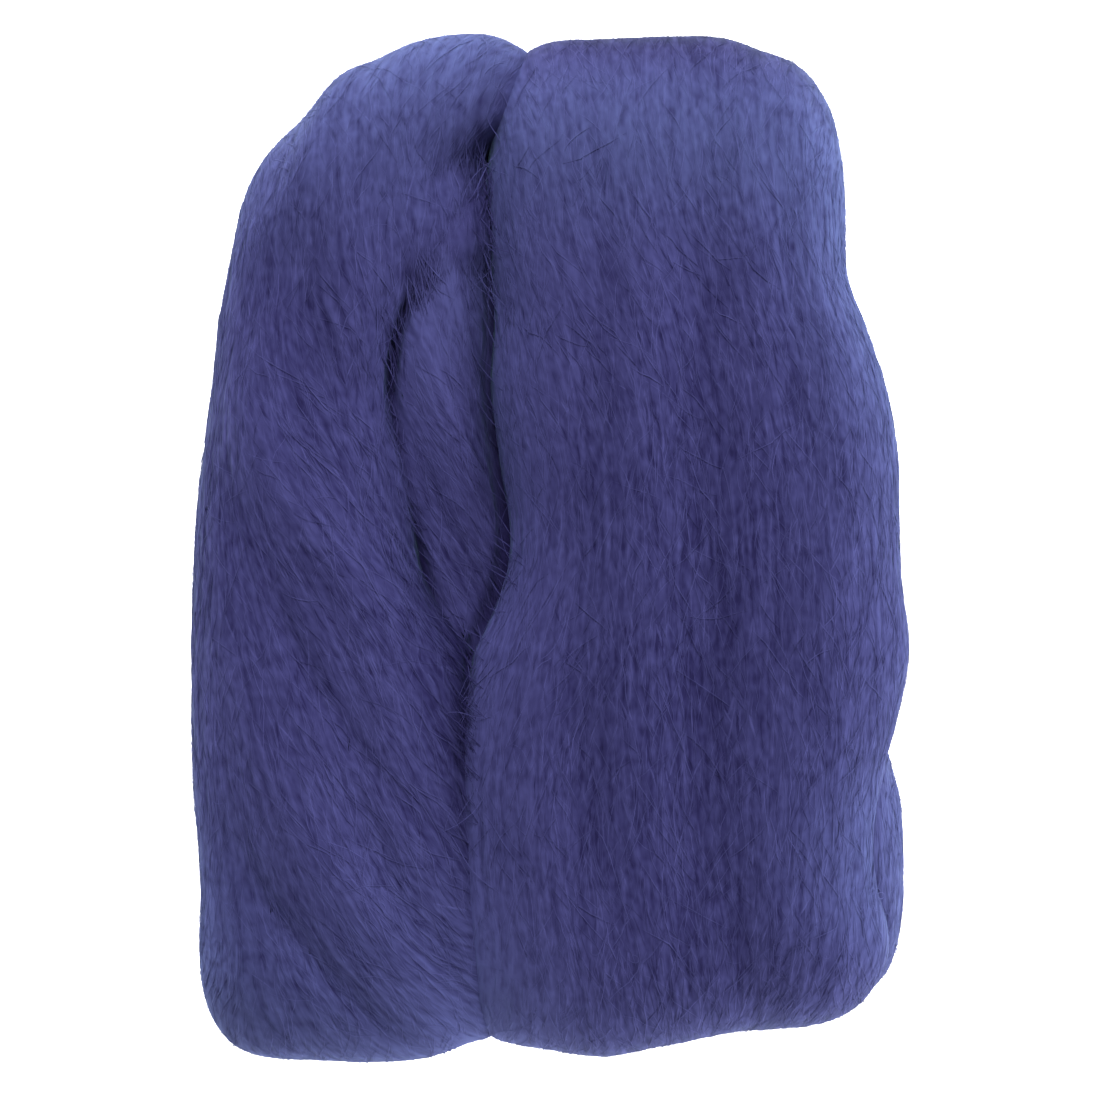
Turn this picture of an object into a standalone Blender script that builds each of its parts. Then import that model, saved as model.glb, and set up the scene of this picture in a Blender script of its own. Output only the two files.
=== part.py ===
"""A flat hank of carded wool roving, lying on its back.

One length of loose, untwisted roving is folded back and forth on itself. Two broad passes lie side by side, a
narrow strand shows between them, and the layer underneath swells out beyond the right pass. Each pass is a soft
rounded block, shaped by short tables of its sides, ends and crest, and all of them are joined into one closed
solid with a flat underside.

+X is across the hank, +Y along its folds, +Z up. The origin is under the middle of the hank, on the surface
that it rests on. The tables are in millimetres.
"""

import math
from collections import namedtuple

import bmesh
import bpy

MM = 0.001
HANK_LENGTH = 170.0
HALF_LENGTH = HANK_LENGTH / 2
BROAD_MIDDLE = 19.5  # height of the widest line of the broader pass
REST_SINK = 1.6  # how far the round underside of the broader pass presses flat
LAYER_SPREAD = 0.38  # makes the layers of an edge reach the side given in the tables
CUTTER_SIZE = 0.2  # side of the block that cuts the flat underside, in metres
WOOL_COLOUR = (0.043, 0.040, 0.145, 1.0)
WOOL_ROUGHNESS = 0.92
WOOL_SHEEN = 0.5

# A pass of the roving is a rounded block. half_width and half_length are its nominal half sizes, which the
# tables below replace. side_round and end_round say how far in from its edges its top starts to fall, and
# corner how square its corners are in plan (2 is a round arc). middle is the height of its widest line and
# under its depth below that line. crown is the share that its top falls from the crest to the sides, and waist
# how deep the groove is between the edges of its upper and lower layer. cells are the faces along X, Y and Z.
Pass = namedtuple(
    "Pass", "name half_width half_length side_round end_round corner middle under crown waist cells"
)
# The two long edges of a pass, at a distance along the hank.
Side = namedtuple("Side", "along left right")
# Its two folded ends, at a share of its half width from -1 (left) to 1 (right).
End = namedtuple("End", "across lower upper")
# The height of its crest over the rest, and the share of its half width where that crest lies.
Crest = namedtuple("Crest", "along height across")
# A soft ridge (positive rise) or trough (negative rise) along a line in plan, fading past both ends.
Fold = namedtuple("Fold", "x_start y_start x_end y_end bow width rise")

RIGHT_PASS = Pass(
    name="right_pass",
    half_width=34.0,
    half_length=HALF_LENGTH,
    side_round=17.0,
    end_round=23.0,
    corner=3.8,
    middle=BROAD_MIDDLE,
    under=BROAD_MIDDLE + REST_SINK,
    crown=0.10,
    waist=0.25,
    cells=(18, 32, 8),
)
RIGHT_SIDES = (
    Side(-85.0, -10.6, 55.0),
    Side(-74.0, -12.0, 55.0),
    Side(-60.0, -13.2, 52.8),
    Side(-45.0, -13.7, 52.8),
    Side(-34.0, -14.2, 55.8),
    Side(-20.0, -11.4, 58.2),
    Side(-8.0, -7.6, 57.6),
    Side(3.0, -5.5, 57.2),
    Side(14.0, -7.8, 57.0),
    Side(26.0, -8.6, 55.2),
    Side(38.0, -8.8, 51.4),
    Side(47.0, -9.6, 48.3),
    Side(58.0, -10.8, 48.4),
    Side(70.0, -10.0, 47.8),
    Side(85.0, -4.8, 45.2),
)
RIGHT_ENDS = (
    End(-1.0, -81.0, 84.0),
    End(-0.7, -82.8, 84.0),
    End(-0.35, -84.2, 84.3),
    End(0.0, -82.0, 84.8),
    End(0.35, -79.7, 84.4),
    End(0.65, -79.2, 82.0),
    End(1.0, -77.6, 80.2),
)
RIGHT_CREST = (
    Crest(-85.0, 36.5, 0.0),
    Crest(-40.0, 38.5, 0.0),
    Crest(0.0, 39.5, 0.1),
    Crest(45.0, 39.0, 0.0),
    Crest(85.0, 37.0, 0.0),
)
RIGHT_FOLDS = (
    Fold(6.0, 34.0, 4.0, -48.0, 1.5, 4.5, -1.0),
    Fold(24.0, 52.0, 23.0, -58.0, -1.5, 5.0, -1.1),
    Fold(37.0, 60.0, 42.0, 10.0, 1.0, 4.0, -0.9),
    Fold(27.0, -50.0, 33.0, -80.0, 0.0, 4.0, -0.9),
    Fold(14.0, 60.0, 14.0, -40.0, 1.0, 6.0, 0.7),
    Fold(48.0, 20.0, 46.0, -40.0, 2.0, 6.0, 0.7),
)

LEFT_PASS = Pass(
    name="left_pass",
    half_width=28.0,
    half_length=HALF_LENGTH,
    side_round=22.0,
    end_round=24.0,
    corner=4.0,
    middle=18.0,
    under=19.8,
    crown=0.10,
    waist=0.25,
    cells=(16, 32, 8),
)
LEFT_SIDES = (
    Side(-85.0, -56.8, -8.5),
    Side(-70.0, -57.4, -9.5),
    Side(-52.0, -57.4, -10.5),
    Side(-35.0, -58.0, -11.0),
    Side(-22.0, -58.2, -11.5),
    Side(-12.0, -58.3, -15.0),
    Side(0.0, -58.3, -19.5),
    Side(14.0, -57.9, -22.6),
    Side(28.0, -57.0, -24.0),
    Side(40.0, -56.0, -20.0),
    Side(50.0, -55.0, -13.5),
    Side(62.0, -53.0, -11.8),
    Side(74.0, -50.4, -8.0),
    Side(85.0, -47.0, 1.0),
)
LEFT_ENDS = (
    End(-1.0, -84.0, 69.5),
    End(-0.75, -84.6, 73.4),
    End(-0.5, -84.8, 78.2),
    End(-0.25, -85.0, 81.6),
    End(0.0, -85.2, 83.8),
    End(0.3, -84.8, 85.2),
    End(0.6, -84.2, 84.8),
    End(1.0, -83.0, 83.0),
)
LEFT_CREST = (
    Crest(-85.0, 34.0, 0.0),
    Crest(-40.0, 36.5, 0.0),
    Crest(-5.0, 37.0, 0.2),
    Crest(35.0, 36.0, 0.0),
    Crest(85.0, 35.5, 0.1),
)
LEFT_FOLDS = (
    Fold(-50.0, 24.0, -22.0, -12.0, 3.0, 5.0, 1.9),
    Fold(-54.0, 10.0, -27.0, -32.0, 3.0, 4.5, -1.9),
    Fold(-54.0, -12.0, -27.0, -62.0, 4.0, 5.0, 1.7),
    Fold(-56.0, -42.0, -34.0, -72.0, 2.0, 5.0, -1.7),
    Fold(-43.0, 50.0, -33.0, 24.0, 2.0, 5.0, -1.6),
    Fold(-32.0, -34.0, -15.0, -70.0, 3.0, 4.5, -1.5),
    Fold(-34.0, 62.0, -30.0, 30.0, 0.0, 5.0, 1.0),
)

# The strand that runs under both broad passes, and shows between them.
MIDDLE_STRAND = Pass(
    name="middle_strand",
    half_width=18.0,
    half_length=82.0,
    side_round=15.0,
    end_round=18.0,
    corner=2.6,
    middle=14.0,
    under=14.9,
    crown=0.05,
    waist=0.0,
    cells=(12, 28, 6),
)
MIDDLE_SIDES = (
    Side(-82.0, -26.0, 8.0),
    Side(-40.0, -26.0, 8.0),
    Side(0.0, -29.0, 6.0),
    Side(20.0, -35.0, 4.0),
    Side(40.0, -32.0, 4.0),
    Side(82.0, -18.0, 10.0),
)
MIDDLE_ENDS = (
    End(-1.0, -80.0, 82.0),
    End(0.0, -81.5, 83.0),
    End(1.0, -81.0, 83.5),
)
MIDDLE_CREST = (
    Crest(-82.0, 26.0, 0.0),
    Crest(-30.0, 26.0, -0.1),
    Crest(15.0, 30.5, -0.1),
    Crest(45.0, 27.5, 0.0),
    Crest(82.0, 27.0, 0.0),
)
MIDDLE_FOLDS = (
    Fold(-22.0, 38.0, -9.0, 6.0, 1.0, 3.0, 1.0),
    Fold(-22.0, 16.0, -9.0, -12.0, 1.0, 3.0, -1.0),
)

# The edge of the layer underneath, where it swells out beyond the right pass.
LOWER_PASS = Pass(
    name="lower_pass",
    half_width=20.0,
    half_length=25.0,
    side_round=14.0,
    end_round=15.0,
    corner=2.6,
    middle=15.0,
    under=16.2,
    crown=0.05,
    waist=0.0,
    cells=(10, 12, 6),
)
LOWER_SIDES = (
    Side(-25.0, 18.0, 55.5),
    Side(-12.0, 18.0, 58.4),
    Side(0.0, 18.0, 58.9),
    Side(12.0, 18.0, 58.0),
    Side(25.0, 18.0, 54.5),
)
LOWER_ENDS = (
    End(-1.0, -77.5, -28.0),
    End(0.0, -77.5, -28.0),
    End(1.0, -76.0, -27.0),
)
LOWER_CREST = (
    Crest(-25.0, 28.0, 0.0),
    Crest(0.0, 30.0, 0.0),
    Crest(25.0, 28.0, 0.0),
)


def slope(rows, i, column):
    """How fast a column changes at a row, from the rows on both sides of it."""
    before, after = max(i - 1, 0), min(i + 1, len(rows) - 1)
    return (rows[after][column] - rows[before][column]) / (rows[after][0] - rows[before][0])


def read_table(rows, at):
    """The other columns of a table at a value of its first one, on smooth curves through the rows."""
    at = min(max(at, rows[0][0]), rows[-1][0])
    i = max(k for k in range(len(rows) - 1) if rows[k][0] <= at)
    gap = rows[i + 1][0] - rows[i][0]
    t = (at - rows[i][0]) / gap
    ease = t * t * (3 - 2 * t)
    found = []
    for column in range(1, len(rows[0])):
        value = (1 - ease) * rows[i][column] + ease * rows[i + 1][column]
        value += t * (1 - t) ** 2 * gap * slope(rows, i, column)
        value -= t * t * (1 - t) * gap * slope(rows, i + 1, column)
        found.append(value)
    return found


def fold_rise(folds, x, y):
    """The height that the soft ridges and troughs add at a point in plan."""
    total = 0.0
    for fold in folds:
        run_x, run_y = fold.x_end - fold.x_start, fold.y_end - fold.y_start
        length = math.hypot(run_x, run_y)
        along = ((x - fold.x_start) * run_x + (y - fold.y_start) * run_y) / length**2
        aside = ((x - fold.x_start) * run_y - (y - fold.y_start) * run_x) / length
        from_middle = 2 * along - 1
        aside -= fold.bow * (1 - from_middle**2)
        total += fold.rise * math.exp(-((aside / fold.width) ** 2)) / (1 + from_middle**6)
    return total


def two_layers(waist, height):
    """The share of its full reach that a long edge has at a height, where two round layers meet."""
    level = abs(height)
    between = 2 * math.sqrt(level / (1 + level))
    return (1 - waist + waist * between) / (1 - LAYER_SPREAD * waist)


def rounded_block(shape, a, b, c):
    """Moves a point of a cube from -1 to 1 onto a rounded block.

    Returns its shares of the half width and half length, and its height from -1 to 1.
    """
    inner_x = 1 - shape.side_round / shape.half_width
    inner_y = 1 - shape.end_round / shape.half_length
    core_x = min(max(a, -inner_x), inner_x)
    core_y = min(max(b, -inner_y), inner_y)
    out_x = (a - core_x) / (1 - inner_x)
    out_y = (b - core_y) / (1 - inner_y)
    in_plan = (abs(out_x) ** shape.corner + abs(out_y) ** shape.corner) ** (2 / shape.corner)
    reach = math.sqrt(in_plan + c * c)
    height = c / reach
    # The fold at each end turns from one layer into the other, so the groove between them runs out there.
    layered = 1 + (two_layers(shape.waist, height) - 1) * (1 - out_y**2)
    u = core_x + (1 - inner_x) * out_x / reach * layered
    v = core_y + (1 - inner_y) * out_y / reach
    return u, v, height


def place(shape, sides, ends, crests, folds, cube_point):
    """The place in millimetres of a cube's point on a finished pass."""
    u, v, height = rounded_block(shape, *cube_point)
    along = v * shape.half_length
    left, right = read_table(sides, along)
    lower, upper = read_table(ends, u)
    crest, crest_across = read_table(crests, along)
    x = left + (right - left) * (u + 1) / 2
    y = lower + (upper - lower) * (v + 1) / 2
    if height < 0:
        return x, y, shape.middle + height * shape.under * (1 - shape.crown * u**2)
    rise = (crest - shape.middle) * (1 - shape.crown * (u - crest_across) ** 2)
    return x, y, shape.middle + height * (rise + fold_rise(folds, x, y))


def boxed_grid(cells):
    """A cube from -1 to 1 whose edges are cut into this many cells along X, Y and Z."""
    grid = bmesh.new()
    bmesh.ops.create_cube(grid, size=2)
    for axis, count in enumerate(cells):
        edges = [edge for edge in grid.edges if edge.verts[0].co[axis] != edge.verts[1].co[axis]]
        bmesh.ops.subdivide_edges(grid, edges=edges, cuts=count - 1, use_grid_fill=True)
    return grid


def as_object(grid, name):
    """Turns a bmesh into an object of the scene, with its faces outward and shaded smooth."""
    bmesh.ops.recalc_face_normals(grid, faces=grid.faces)
    mesh = bpy.data.meshes.new(name)
    grid.to_mesh(mesh)
    grid.free()
    mesh.shade_smooth()
    made = bpy.data.objects.new(name, mesh)
    bpy.context.scene.collection.objects.link(made)
    return made


def make_pass(shape, sides, ends, crests, folds):
    """A pass of the roving as an object of its own."""
    grid = boxed_grid(shape.cells)
    for vert in grid.verts:
        vert.co = [MM * value for value in place(shape, sides, ends, crests, folds, vert.co)]
    return as_object(grid, shape.name)


def make_rest_cutter():
    """A block whose top is the surface that the hank rests on."""
    block = bmesh.new()
    bmesh.ops.create_cube(block, size=CUTTER_SIZE)
    bmesh.ops.translate(block, verts=block.verts, vec=(0, 0, -CUTTER_SIZE / 2))
    return as_object(block, "rest_cutter")


def combine(body, other, operation):
    """Joins another object to the body or cuts it away, and keeps the other out of the finished part."""
    other.hide_render = True
    other.display_type = "WIRE"
    modifier = body.modifiers.new(f"{operation.lower()}_{other.name}", "BOOLEAN")
    modifier.operation = operation
    modifier.solver = "EXACT"
    modifier.use_self = True
    modifier.object = other


def make_wool():
    """Deep blue-violet wool, with the pale bloom of loose fibre."""
    wool = bpy.data.materials.new("wool")
    wool.use_nodes = True
    finish = wool.node_tree.nodes["Principled BSDF"]
    finish.inputs["Base Color"].default_value = WOOL_COLOUR
    finish.inputs["Roughness"].default_value = WOOL_ROUGHNESS
    finish.inputs["Metallic"].default_value = 0.0
    finish.inputs["Sheen Weight"].default_value = WOOL_SHEEN
    return wool


def build():
    for old in list(bpy.data.objects):
        bpy.data.objects.remove(old, do_unlink=True)
    hank = make_pass(RIGHT_PASS, RIGHT_SIDES, RIGHT_ENDS, RIGHT_CREST, RIGHT_FOLDS)
    hank.name = "roving_hank"
    hank.data.materials.append(make_wool())
    left = make_pass(LEFT_PASS, LEFT_SIDES, LEFT_ENDS, LEFT_CREST, LEFT_FOLDS)
    middle = make_pass(MIDDLE_STRAND, MIDDLE_SIDES, MIDDLE_ENDS, MIDDLE_CREST, MIDDLE_FOLDS)
    lower = make_pass(LOWER_PASS, LOWER_SIDES, LOWER_ENDS, LOWER_CREST, ())
    for other in (left, middle, lower):
        combine(hank, other, "UNION")
    combine(hank, make_rest_cutter(), "DIFFERENCE")


build()
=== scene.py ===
# %% [markdown]
# A hank of carded wool roving. Roving is a long, loose rope of combed wool that has not been spun, and
# it is folded back and forth on itself. The imported model holds its plain form as one solid. Here four
# soft passes of nearly the same form take its place, and fibres are laid over them. The frame is loaded
# before anything else.

# %% Load the frame
import math
from collections import namedtuple

import bmesh
import bpy
import numpy as np
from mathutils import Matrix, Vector
from mathutils.bvhtree import BVHTree


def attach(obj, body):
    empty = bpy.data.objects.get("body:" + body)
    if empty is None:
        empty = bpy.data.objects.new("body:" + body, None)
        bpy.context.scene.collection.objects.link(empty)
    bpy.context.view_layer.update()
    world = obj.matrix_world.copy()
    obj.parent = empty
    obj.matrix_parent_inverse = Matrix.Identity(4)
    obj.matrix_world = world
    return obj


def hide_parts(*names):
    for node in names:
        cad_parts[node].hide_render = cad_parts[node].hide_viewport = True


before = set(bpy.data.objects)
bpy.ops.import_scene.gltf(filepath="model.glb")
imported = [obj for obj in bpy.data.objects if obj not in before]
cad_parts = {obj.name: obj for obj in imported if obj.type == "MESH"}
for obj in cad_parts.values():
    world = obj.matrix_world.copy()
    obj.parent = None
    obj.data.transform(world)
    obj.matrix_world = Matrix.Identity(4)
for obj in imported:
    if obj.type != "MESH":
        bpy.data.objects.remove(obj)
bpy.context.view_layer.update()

MM = 0.001  # the tables below are in millimetres, and the frame is in metres
NODE = "roving_hank"

# %% [markdown]
# Each pass of the roving is a long pillow with rounded ends, where the roving turns and goes back under
# itself. It could be sculpted by hand, but then its edges would drift from the solid's. So each pass is
# described by short tables like the solid's, in millimetres. Most rows start with a distance along the
# hank, and those of the ends with a share of the half width. The tables hold:
# - sides: where the left and the right edge run
# - ends: where the lower and the upper fold lie
# - crests: how high the crest is, and at which share of the half width
# - folds: where a soft ridge starts and ends (x, y, x, y), its bow and width, and its rise, below 0 in
#   a trough
# - leans: by how many degrees the fibres lean to the right as they run down, left, centre and right
# - painted highlights: how much paler, bluer painted highlight lies at these three, where light falls
# - tones: how much paler painted light makes the wool at these three, or darker painted shade below 0

# %% The measures of a pass
# corner: 2 is round seen from above, more is squarer; middle: how high the middle lies; under: how far
# the wool reaches below that; crown: the share by which the edges lie lower than the crest; waist: the
# share by which the sides are drawn in; cells: those of the grid along x, y and z
Pass = namedtuple(
    "Pass", "name half_width half_length side_round end_round corner middle under crown waist cells"
)
Plan = namedtuple("Plan", "shape sides ends crests folds leans blooms tones")
LAYER_SPREAD = 0.38  # makes the two layers of an edge reach the side that the tables give

# %% [markdown]
# The right pass is the broadest and lies nearest to the eye. Its left edge makes the long groove down
# the middle of the hank, its right edge swells where a second layer lies under it, and shallow troughs
# part its slivers.

# %% The tables of the right pass
RIGHT_PASS = Pass("right_pass", 34, 85, 17, 23, 3.8, 19.5, 21.1, 0.1, 0.25, (128, 112, 22))
RIGHT_SIDES = (
    (-85, -12.6, 54), (-74, -14, 55.3), (-60, -15.3, 52.8), (-45, -16, 52.8), (-34, -16.2, 55.8),
    (-20, -13.2, 58.2), (-8, -8.2, 57.1), (3, -6.6, 56.7), (14, -8, 56.5), (26, -9.7, 54.8),
    (38, -9.2, 51.2), (47, -9.9, 48.2), (58, -10.4, 47.9), (66, -9.8, 47.6), (71, -8.6, 47.3),
    (77, -6.8, 46.8), (85, -5.4, 45.2),
)
RIGHT_ENDS = (
    (-1, -83.5, 85.2), (-0.7, -82.8, 84.3), (-0.35, -84, 84.3), (0, -82, 84.8), (0.35, -79.7, 84.4),
    (0.65, -78.9, 82), (1, -77.1, 80.2),
)
RIGHT_CREST = ((-85, 36.5, 0), (-40, 38.5, 0), (0, 39.5, 0.1), (45, 39, 0), (85, 37, 0))
RIGHT_FOLDS = (
    (7, 34, 5, -48, 1.5, 4.5, -1.3), (24, 58, 23, -58, -1.5, 5, -1.5), (38, 60, 43, 10, 1, 4, -1.2),
    (27, -50, 33, -80, 0, 4, -0.9), (14, 60, 14, -40, 1, 6, 0.7), (48, 20, 46, -40, 2, 6, 0.7),
)
RIGHT_LEAN = (
    (-85, 6, 10, -60), (-68, 8, 8, -24), (-50, 4, 6, -10), (-35, -8, 4, 0), (-15, -16, 2, 3),
    (0, -4, 3, 4), (18, 14, 6, 6), (34, 16, 14, 16), (48, 16, 15, 8), (60, 12, 8, 2), (85, -6, -2, 4),
)
# painted highlight: paler, bluer wool where light falls on the top fold, the rims and the lower left
# flank
RIGHT_PAINTED_HIGHLIGHT = (
    (-85, 0.36, 0.05, 0.05), (-72, 0.34, 0, 0.08), (-58, 0.1, 0, 0.27), (-46, 0.05, 0, 0.3),
    (-30, 0, 0, 0.12), (10, 0, 0, 0.2), (36, 0.05, 0, 0.42), (50, 0.1, 0.06, 0.5),
    (66, 0.2, 0.29, 0.48), (74, 0.2, 0.25, 0.34), (82, 0, 0, 0),
)
# painted light and shade: paler on the flank by the groove, darker in the flat middle and at the top
# end
RIGHT_PAINTED_SHADING = (
    (-85, 0.85, 0, 0), (-72, 0.85, -0.07, 0), (-58, 0.48, -0.11, 0), (-30, 0.45, -0.17, 0),
    (10, 0.32, -0.16, 0), (24, 0.42, -0.09, 0), (40, 0.2, -0.04, 0), (55, 0.12, 0, 0), (76, 0.15, 0, 0),
    (84, -0.15, -0.45, -0.2),
)
RIGHT_PLAN = Plan(
    RIGHT_PASS, RIGHT_SIDES, RIGHT_ENDS, RIGHT_CREST, RIGHT_FOLDS, RIGHT_LEAN, RIGHT_PAINTED_HIGHLIGHT, RIGHT_PAINTED_SHADING
)

# %% [markdown]
# The left pass lies beside it. Its fibres start straight at the top fold, then sweep across towards the
# groove, where they dive under the right pass, so its ridges and its lean both slant.

# %% The tables of the left pass
LEFT_PASS = Pass("left_pass", 28, 85, 22, 24, 4, 18, 19.8, 0.1, 0.25, (104, 112, 22))
LEFT_SIDES = (
    (-85, -56.4, -2.5), (-74, -56.8, -4.5), (-66, -56.9, -6.5), (-52, -56.6, -8), (-35, -57.8, -9.5),
    (-22, -58.2, -11.6), (-12, -58.3, -17.4), (-3, -58.3, -20.8), (14, -57.6, -22.8), (28, -56.2, -24),
    (38, -55, -21), (45, -54.3, -15), (51, -53.6, -12), (58, -52.4, -12.2), (64, -51.4, -12),
    (68, -50.8, -8.6), (71, -50.3, -5), (74, -49.8, -2.6), (79, -48.7, 0), (85, -47, 2.6),
)
LEFT_ENDS = (
    (-1, -85.4, 69.7), (-0.75, -84.9, 72.2), (-0.5, -84.8, 78.7), (-0.25, -85, 81.1), (0, -85.2, 83.8),
    (0.3, -84.6, 85.2), (0.6, -82.4, 84.8), (1, -80.4, 81.4),
)
LEFT_CREST = ((-85, 34, 0), (-40, 36.5, 0), (-5, 37, 0.2), (35, 36, 0), (85, 35.5, 0.1))
LEFT_FOLDS = (
    (-50, 24, -23, -12, 3, 5, 1.8), (-54, 10, -28, -32, 3, 4, -0.6), (-54, -12, -27, -62, 4, 5, 1.3),
    (-56, -42, -34, -72, 2, 4.5, -1.1), (-43, 50, -33, 24, 2, 5, -1.2),
    (-32, -34, -15, -70, 3, 4, -1.2), (-34, 62, -30, 30, 0, 5, 0.9), (-44, -8, -20, -44, 3, 2, -0.7),
    (-50, -50, -24, -80, 2, 2, -0.7),
)
LEFT_LEAN = (
    (-85, 6, 40, 20), (-68, 2, 36, 42), (-50, 2, 27, 38), (-30, 4, 24, 28), (-12, 2, 26, 38),
    (0, 0, 32, 30), (14, -4, 29, 8), (28, -8, 21, -2), (42, -12, 14, -6), (58, -22, 3, -4),
    (72, -40, 4, -16), (85, -48, -20, -30),
)
# painted highlight: paler, bluer wool where light falls on the folded ends
LEFT_PAINTED_HIGHLIGHT = (
    (-85, 0.34, 0.22, 0.32), (-68, 0.3, 0.12, 0.12), (-48, 0.12, 0.03, 0), (-25, 0, 0, 0),
    (36, 0, 0, 0), (66, 0.32, 0.18, 0.05), (84, 0.52, 0.44, 0.15),
)
# painted light and shade: darker in the middle and beside the groove, paler towards the right at the
# ends
LEFT_PAINTED_SHADING = (
    (-85, 0, 0, 0.3), (-68, 0, 0, 0.25), (-48, 0, 0.02, -0.22), (-25, -0.06, 0, -0.62),
    (0, -0.14, -0.07, -0.1), (40, -0.04, -0.07, 0), (64, 0, 0, 0), (72, 0, 0, 0.22), (85, 0, 0, 0.05),
)
LEFT_PLAN = Plan(
    LEFT_PASS, LEFT_SIDES, LEFT_ENDS, LEFT_CREST, LEFT_FOLDS, LEFT_LEAN, LEFT_PAINTED_HIGHLIGHT, LEFT_PAINTED_SHADING
)

# %% [markdown]
# Between the two, a narrow strand of the roving shows in a long lens. Under the right pass, the edge of
# a lower layer bulges out near the bottom. Both are the same kind of form, only smaller.

# %% The tables of the middle strand and the lower layer
MIDDLE_STRAND = Pass("middle_strand", 18, 82, 15, 18, 2.6, 14, 14.9, 0.05, 0, (56, 100, 14))
MIDDLE_SIDES = ((-82, -26, 8), (-40, -26, 8), (0, -29, 6), (20, -35, 4), (40, -32, 4), (82, -18, 10))
MIDDLE_ENDS = ((-1, -78, 78), (0, -79, 80), (1, -79, 80.5))
MIDDLE_CREST = (
    (-82, 26, 0), (-30, 26, -0.1), (15, 30.5, -0.1), (36, 32.5, 0), (46, 33.4, 0), (54, 32.3, 0),
    (60, 29.8, 0), (67, 25.5, 0), (82, 22, 0),
)
MIDDLE_FOLDS = (
    (-22, 38, -9, 6, 1, 3, 0.8), (-22, 16, -9, -12, 1, 3, -0.8), (-9.5, 70, -7, 4, 0, 4.2, -6),
)
MIDDLE_LEAN = (
    (-82, 10, 10, 10), (-20, 26, 28, 30), (5, 24, 30, 30), (25, 24, 25, 22), (45, 4, 12, 14),
    (82, 0, 4, 6),
)
# painted highlight: a little at the top of the lens
MIDDLE_PAINTED_HIGHLIGHT = ((-82, 0, 0, 0), (20, 0, 0, 0), (42, 0.04, 0.08, 0.04), (52, 0, 0, 0))
# painted light and shade: paler at the top of the lens, darker where it dives into the pocket
MIDDLE_PAINTED_SHADING = (
    (-82, 0, 0, 0), (10, 0, 0.03, 0), (30, 0.1, 0.22, 0.1), (40, 0.12, 0.34, 0.2), (49, -0.02, 0.04, 0),
    (60, -0.15, -0.15, -0.15),
)
MIDDLE_PLAN = Plan(
    MIDDLE_STRAND, MIDDLE_SIDES, MIDDLE_ENDS, MIDDLE_CREST,
    MIDDLE_FOLDS, MIDDLE_LEAN, MIDDLE_PAINTED_HIGHLIGHT, MIDDLE_PAINTED_SHADING,
)

LOWER_PASS = Pass("lower_pass", 20, 25, 14, 15, 2.6, 15, 16.2, 0.05, 0, (30, 40, 16))
LOWER_SIDES = ((-25, 18, 55.5), (-12, 18, 58.4), (0, 18, 58.9), (12, 18, 58), (25, 18, 54.5))
LOWER_ENDS = ((-1, -77.5, -28), (0, -77.5, -28), (1, -76, -27))
LOWER_CREST = ((-25, 28, 0), (0, 30, 0), (25, 28, 0))
LOWER_LEAN = ((-90, 0, -4, -8), (-52, 0, 0, 0), (-20, 0, 4, 8))
# painted highlight on the bulge's right rim, and no painted light or shade in the tones
LOWER_PAINTED_HIGHLIGHT = ((-90, 0, 0, 0.12), (-50, 0, 0, 0.22), (-20, 0, 0, 0.22))
LOWER_PAINTED_SHADING = ((-90, 0, 0, 0), (-20, 0, 0, 0))
LOWER_PLAN = Plan(
    LOWER_PASS, LOWER_SIDES, LOWER_ENDS, LOWER_CREST, (), LOWER_LEAN, LOWER_PAINTED_HIGHLIGHT, LOWER_PAINTED_SHADING
)

# %% [markdown]
# A table gives only a few rows, and the wool between them has to run smoothly. So a curve is drawn
# through the rows that keeps their slopes. It is read at many positions at once, because a pass has
# tens of thousands of points.


# %% Read a table
def read_rows(rows, at):
    """The columns after the first at each position, on a smooth curve through the rows."""
    table = np.array(rows, float)
    keys, values = table[:, 0], table[:, 1:]
    slopes = np.empty_like(values)
    slopes[1:-1] = (values[2:] - values[:-2]) / (keys[2:] - keys[:-2])[:, None]
    slopes[0] = (values[1] - values[0]) / (keys[1] - keys[0])
    slopes[-1] = (values[-1] - values[-2]) / (keys[-1] - keys[-2])
    at = np.clip(at, keys[0], keys[-1])
    row = np.clip(np.searchsorted(keys, at, side="right") - 1, 0, len(keys) - 2)
    gap = (keys[row + 1] - keys[row])[:, None]
    t = (at - keys[row])[:, None] / gap
    ease = t * t * (3 - 2 * t)
    found = (1 - ease) * values[row] + ease * values[row + 1]
    found += t * (1 - t) ** 2 * gap * slopes[row] - t * t * (1 - t) * gap * slopes[row + 1]
    return found.T


print("the groove at mid length:", read_rows(RIGHT_SIDES, np.array([0.0]))[0].round(2), "mm")


# %% [markdown]
# A fold of the wool is a long, low ridge or trough. Its height falls off softly to both sides, and it
# fades out past its two ends.


# %% Raise the soft folds
def fold_rise(folds, x, y):
    """How far the folds raise or lower the wool at each place."""
    total = np.zeros_like(x)
    for x_start, y_start, x_end, y_end, bow, width, rise in folds:
        run_x, run_y = x_end - x_start, y_end - y_start
        length = math.hypot(run_x, run_y)
        along = ((x - x_start) * run_x + (y - y_start) * run_y) / length**2
        aside = ((x - x_start) * run_y - (y - y_start) * run_x) / length
        from_middle = 2 * along - 1
        aside = aside - bow * (1 - from_middle**2)
        total += rise * np.exp(-((aside / width) ** 2)) / (1 + from_middle**6)
    return total


# %% [markdown]
# The pass starts as a cube whose faces are cut into a fine grid. Each point is pulled onto a block with
# rounded sides and ends, and its sides are drawn in a little at the waist, where the upper and the
# lower layer of the folded roving meet. Then the tables put it in its place.


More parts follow.
